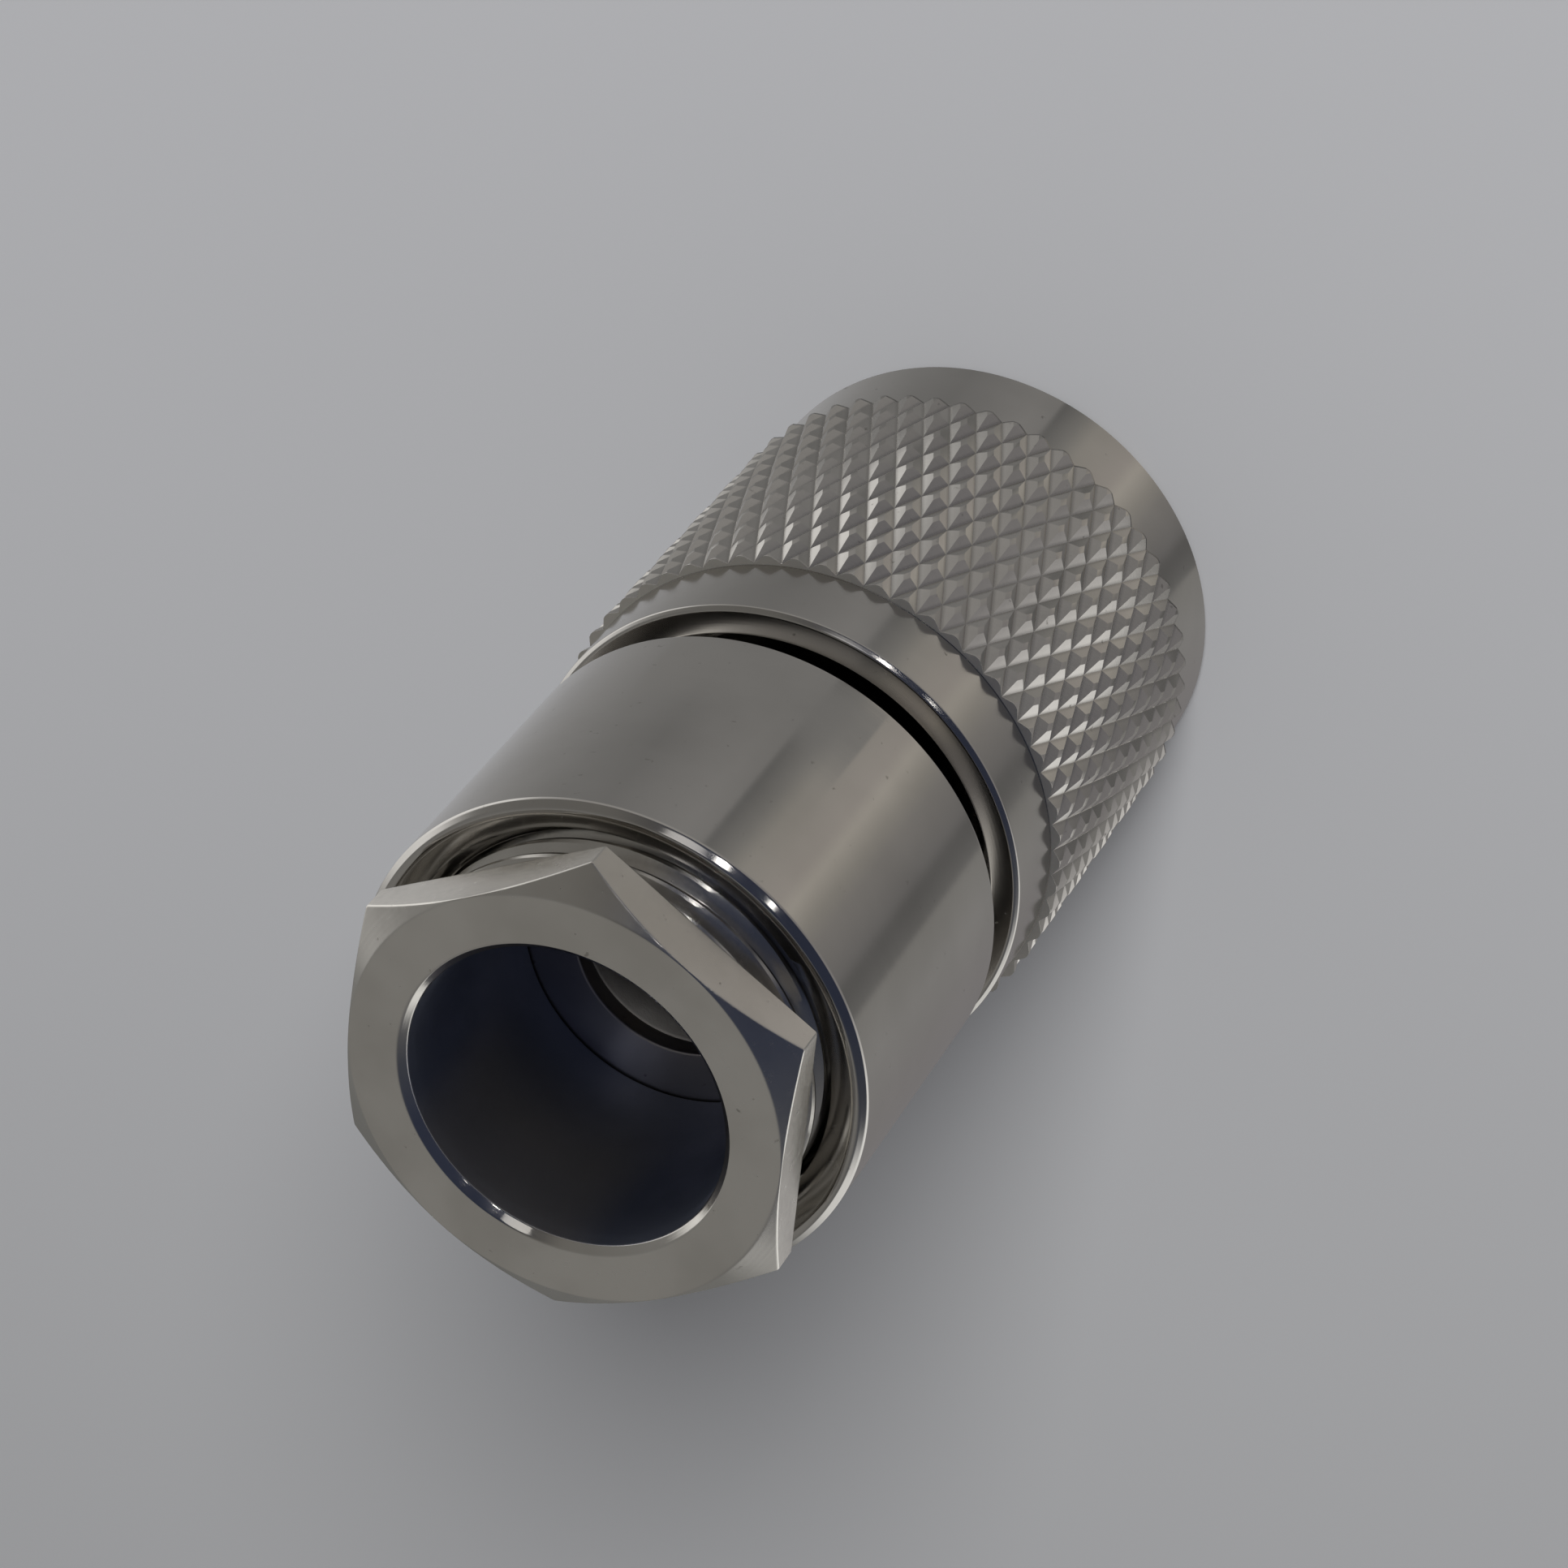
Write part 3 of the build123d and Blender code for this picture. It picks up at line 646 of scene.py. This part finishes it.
# What the metal sees round it, a painted reflection that the floor shows, against the azimuth
# of a barrel's surface in degrees: a painted grey room, a warm bright card and two dark edges with
# one sharp side each.
ROOM_TONES = (
    (-90, (0.19, 0.18, 0.18)),
    (-70, (0.24, 0.23, 0.23)),
    (-52, (0.285, 0.28, 0.275)),
    (-40.2, (0.26, 0.255, 0.245)),
    (-39.2, (0.168, 0.166, 0.163)),
    (-34.5, (0.138, 0.136, 0.134)),
    (-32.5, (0.138, 0.136, 0.134)),
    (-30, (0.190, 0.185, 0.183)),
    (-21, (0.255, 0.245, 0.235)),
    (-17, (0.32, 0.305, 0.28)),
    (-12, (0.45, 0.425, 0.385)),
    (-9, (0.385, 0.36, 0.335)),
    (1, (0.335, 0.32, 0.295)),
    (5, (0.235, 0.23, 0.22)),
    (10.4, (0.150, 0.149, 0.147)),
    (10.9, (0.250, 0.245, 0.240)),
    (16, (0.265, 0.26, 0.255)),
    (34, (0.200, 0.198, 0.195)),
    (46, (0.230, 0.228, 0.225)),
    (60, (0.285, 0.283, 0.281)),
    (78, (0.365, 0.365, 0.370)),
    (90, (0.375, 0.375, 0.383)),
)
# A painted grey sheet that covers part of the painted room in a barrel's reflection: from azimuth
# to azimuth in degrees, and from height to height on the barrel.
PAINTED_SHEET_TONE = (0.238, 0.235, 0.230)
SHEET_AZIMUTHS = (-2.7, 51.0)
SHEET_HEIGHTS = (17.2, 21.06)
# The floor's colour, painted darker at the end near the front left than at the far one as
# painted shade, and where along x + y they lie; the tone behind the floor; the distances over
# which its mirrored tones turn into the horizon's.
FLOOR_NEAR_SHADE = (0.348, 0.349, 0.358)
FLOOR_FAR_LIT = (0.432, 0.433, 0.450)
FLOOR_REACH = (-75.0, 55.0)
FLOOR_TONE = (0.42, 0.421, 0.437)
MIRROR_REACH = (31.5, 42.0)
FLOOR_HALF = 3.0

# What tilted facets see beyond the floor near the plug, against the compass azimuth in degrees:
# bright walls on both sides, dim room in front and dark room behind.
HORIZON_TONES = (
    (-180, (0.14, 0.14, 0.135)),
    (-142, (0.20, 0.20, 0.195)),
    (-130, (0.85, 0.85, 0.83)),
    (-105, (0.99, 0.99, 0.97)),
    (-85, (0.97, 0.96, 0.94)),
    (-72, (0.62, 0.61, 0.60)),
    (-55, (0.28, 0.27, 0.27)),
    (-15, (0.25, 0.24, 0.24)),
    (2, (0.29, 0.28, 0.27)),
    (30, (0.34, 0.33, 0.32)),
    (62, (0.35, 0.34, 0.33)),
    (76, (0.50, 0.495, 0.485)),
    (86, (0.93, 0.92, 0.90)),
    (112, (0.99, 0.98, 0.96)),
    (130, (0.80, 0.79, 0.77)),
    (142, (0.22, 0.22, 0.215)),
    (180, (0.14, 0.14, 0.135)),
)

# The upper room, against the same azimuth: dark on the camera's side, mid grey behind.
UPPER_TONES = (
    (-180, (0.225, 0.220, 0.209)),
    (-130, (0.16, 0.157, 0.155)),
    (-95, (0.055, 0.060, 0.076)),
    (-64, (0.030, 0.036, 0.060)),
    (20, (0.030, 0.036, 0.060)),
    (40, (0.10, 0.097, 0.095)),
    (55, (0.155, 0.150, 0.140)),
    (130, (0.20, 0.197, 0.190)),
    (180, (0.225, 0.220, 0.209)),
)


# How much even light comes from all round, and between which heights of a direction the
# horizon's tones turn into the upper room's
FILL_TONE = (0.32, 0.32, 0.325)
HORIZON_TOP = (0.08, 0.27)


def tone_ramp(tree, tones, reach, degrees):
    """The colour that a table of tones gives for an angle between -reach and reach degrees."""
    stops = [((place + reach) / (2 * reach), colour) for place, colour in tones]
    made = tree.node("ShaderNodeValToRGB", {"stops": stops}, {0: degrees / (2.0 * reach) + 0.5})
    return tree.amount(made)


def seen_by_metal(tree):
    """1 for rays that left the camera by way of a reflection or through glass, 0 for others."""
    path = tree.node("ShaderNodeLightPath")
    return tree.amount(path, "Is Glossy Ray") + tree.amount(path, "Is Transmission Ray")


def make_floor():
    """Pale floor, painted darker towards the front left as painted shade. In reflections it glows
    with the room's tones, a painted reflection laid out so that a barrel's
    surface at azimuth p shows the tone of p: p = a d / (2 d - r), with a the floor point's own
    azimuth, d its distance from the axis and r the barrel's radius. The height on the barrel is
    (root of (d^2 - r^2 sin^2 p) - r cos p) times the slope of the line of sight, which places
    the painted grey sheet. Far out the painted reflection turns into the tones of the horizon."""
    material = bpy.data.materials.new("pale_floor")
    tree = Tree(material)
    where = tree.millimetres()
    x, y, z = tree.parts(where)
    distance = tree.worked("MAXIMUM", (x * x + y * y) ** 0.5, NUT_R)
    azimuth = tree.worked("ARCTAN2", y, x)
    degrees = azimuth * (180.0 / math.pi)
    surface = degrees * distance / (2.0 * distance - NUT_R)
    room = tone_ramp(tree, ROOM_TONES, 90.0, surface)
    turn = surface * (math.pi / 180.0)
    across = tree.worked("SINE", turn) * NUT_R
    reach = (distance * distance - across * across) ** 0.5 - tree.worked("COSINE", turn) * NUT_R
    level = reach * VIEW_SLOPE
    low, high = SHEET_HEIGHTS
    sheet = tree.spread(level, low, low + 0.1) - tree.spread(level, high - 0.05, high + 0.05)
    first, last = SHEET_AZIMUTHS
    sheet = sheet * (tree.spread(surface, first - 0.2, first + 0.2)
                     - tree.spread(surface, last - 1.0, last + 1.0))
    # Painted reflection: the room's tones with the painted grey sheet over them
    near = tree.blend(sheet, room, PAINTED_SHEET_TONE)
    far = tone_ramp(tree, HORIZON_TONES, 180.0, degrees)
    mirrored = tree.blend(tree.spread(distance, *MIRROR_REACH), near, far)
    soft = (tree.noise(where, 0.02, 2.0) - 0.5) * 0.1
    # Painted shade: the floor's colour runs darker towards the front left
    tone = tree.blend(tree.spread(x + y, *FLOOR_REACH) + soft, FLOOR_NEAR_SHADE, FLOOR_FAR_LIT)
    plain = tree.node("ShaderNodeBsdfDiffuse", None, {"Color": tone})
    shown = tree.node("ShaderNodeEmission", None, {"Color": mirrored})
    both = tree.node("ShaderNodeMixShader", None, {
        0: seen_by_metal(tree), 1: tree.amount(plain), 2: tree.amount(shown)})
    tree.node("ShaderNodeOutputMaterial", None, {"Surface": tree.amount(both)})
    mesh = bpy.data.meshes.new("floor")
    half = FLOOR_HALF
    mesh.from_pydata([(-half, -half, 0), (half, -half, 0), (half, half, 0), (-half, half, 0)],
                     [], [(0, 1, 2, 3)])
    mesh.materials.append(material)
    floor = bpy.data.objects.new("floor", mesh)
    bpy.context.scene.collection.objects.link(floor)


def make_world():
    """Soft even light from all round. Reflections show the horizon's tones and the upper room's
    above them; the camera sees the floor's own tone."""
    world = bpy.data.worlds.new("room")
    bpy.context.scene.world = world
    tree = Tree(world)
    direction = tree.amount(tree.node("ShaderNodeTexCoord"), "Generated")
    x, y, z = tree.parts(direction)
    azimuth = tree.worked("ARCTAN2", y, x)
    degrees = azimuth * (180.0 / math.pi)
    ring = tone_ramp(tree, HORIZON_TONES, 180.0, degrees)
    upper = tone_ramp(tree, UPPER_TONES, 180.0, degrees)
    reflected = tree.blend(tree.spread(z, *HORIZON_TOP), ring, upper)
    path = tree.node("ShaderNodeLightPath")
    lit = tree.blend(tree.amount(path, "Is Camera Ray"), FILL_TONE, FLOOR_TONE)
    shown = tree.blend(seen_by_metal(tree), lit, reflected)
    light = tree.node("ShaderNodeBackground", None, {"Color": shown, "Strength": 1.0})
    tree.node("ShaderNodeOutputWorld", None, {"Surface": tree.amount(light)})


def make_lamp(name, azimuth, elevation, distance, size, power, colour, in_reflections):
    """A round soft lamp aimed at the middle of the plug."""
    data = bpy.data.lights.new(name, "AREA")
    data.shape = "DISK"
    data.size = size
    data.energy = power
    data.color = colour
    lamp = bpy.data.objects.new(name, data)
    bpy.context.scene.collection.objects.link(lamp)
    a, e = math.radians(azimuth), math.radians(elevation)
    away = Vector((math.cos(a) * math.cos(e), math.sin(a) * math.cos(e), math.sin(e)))
    lamp.location = Vector((0, 0, 0.015)) + away * distance
    lamp.rotation_euler = away.to_track_quat("Z", "Y").to_euler()
    lamp.visible_glossy = in_reflections


def make_camera():
    """The camera at the photograph's viewing angle, from its place and its three directions."""
    data = bpy.data.cameras.new("camera")
    data.sensor_width = 36.0
    data.lens = CAMERA_LENS
    data.clip_start = 0.005
    data.clip_end = 20.0
    camera = bpy.data.objects.new("camera", data)
    bpy.context.scene.collection.objects.link(camera)
    columns = Matrix((CAMERA_RIGHT, CAMERA_UP, -CAMERA_FORWARD)).transposed()
    camera.matrix_world = Matrix.Translation(CAMERA_PLACE) @ columns.to_4x4()
    bpy.context.scene.camera = camera


def put_on(piece, material):
    """One material over a whole piece."""
    piece.data.materials.clear()
    piece.data.materials.append(material)


make_camera()
coupling_nut = make_coupling_nut()
body_barrel = make_body_shell()
clamp_nut = make_clamp_nut()
washer, gasket, braid_clamp = make_clamp_rings()

NICKEL_LIGHT = (0.64, 0.622, 0.597)
NICKEL_DARK = (0.59, 0.573, 0.548)
knurl_nickel = plated_finish("knurled_nickel", NICKEL_LIGHT, NICKEL_DARK, 0.17, 0.002, 0.06, True)
barrel_nickel = plated_finish("turned_nickel", NICKEL_LIGHT, NICKEL_DARK, 0.10, 0.0012, 0.05)
hexagon_nickel = plated_finish(
    "satin_nickel", (0.77, 0.748, 0.710), (0.66, 0.638, 0.600), 0.24, 0.002, 0.06, False, 0.10)
# Painted shade: a darker copy of the nickel for the washer and the braid clamp deep inside the bore
painted_shade_nickel = plated_finish("painted_shade_nickel", (0.40, 0.38, 0.39), (0.33, 0.315, 0.325), 0.32, 0.004, 0.05)
spring_bronze = bare_metal_finish("spring_bronze", (0.62, 0.50, 0.36), (0.52, 0.40, 0.27), 0.32, 0.15)
sleeve_plate = bare_metal_finish("sleeve_plate", (0.72, 0.70, 0.66), (0.62, 0.60, 0.56), 0.24, 0.12)
pin_gold = bare_metal_finish("pin_gold", (0.90, 0.68, 0.30), (0.80, 0.57, 0.23), 0.20, 0.08)
white_plastic = plastic_finish("white_plastic", (0.86, 0.86, 0.83), (0.78, 0.78, 0.74))
seal_rubber = rubber_finish("seal_rubber", (0.46, 0.17, 0.12), (0.36, 0.11, 0.075), 0.6)
dark_rubber = rubber_finish("dark_rubber", (0.42, 0.40, 0.375), (0.34, 0.32, 0.30), 0.6)

put_on(coupling_nut, knurl_nickel)
put_on(body_barrel, barrel_nickel)
put_on(clamp_nut, hexagon_nickel)
put_on(washer, painted_shade_nickel)
put_on(braid_clamp, painted_shade_nickel)
put_on(gasket, dark_rubber)
put_on(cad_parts["retaining_ring"], spring_bronze)
put_on(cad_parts["outer_contact"], sleeve_plate)
put_on(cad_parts["centre_contact"], pin_gold)
put_on(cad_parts["front_insulator"], white_plastic)
put_on(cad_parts["rear_insulator"], white_plastic)
put_on(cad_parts["interface_gasket"], seal_rubber)

make_floor()
make_world()
make_lamp("key_lamp", 11.0, 40.0, 0.80, 0.32, 6.7, (0.995, 1.0, 0.995), False)
make_lamp("window_card", 26.0, 42.0, 0.70, 0.18, 0.05, (1.0, 0.98, 0.95), True)
make_lamp("window_spark", 9.0, 38.0, 0.70, 0.04, 0.09, (1.0, 0.98, 0.95), True)
make_lamp("side_spark", -15.0, 38.0, 0.70, 0.03, 0.02, (1.0, 0.98, 0.95), True)

bpy.context.scene.view_settings.view_transform = "Standard"
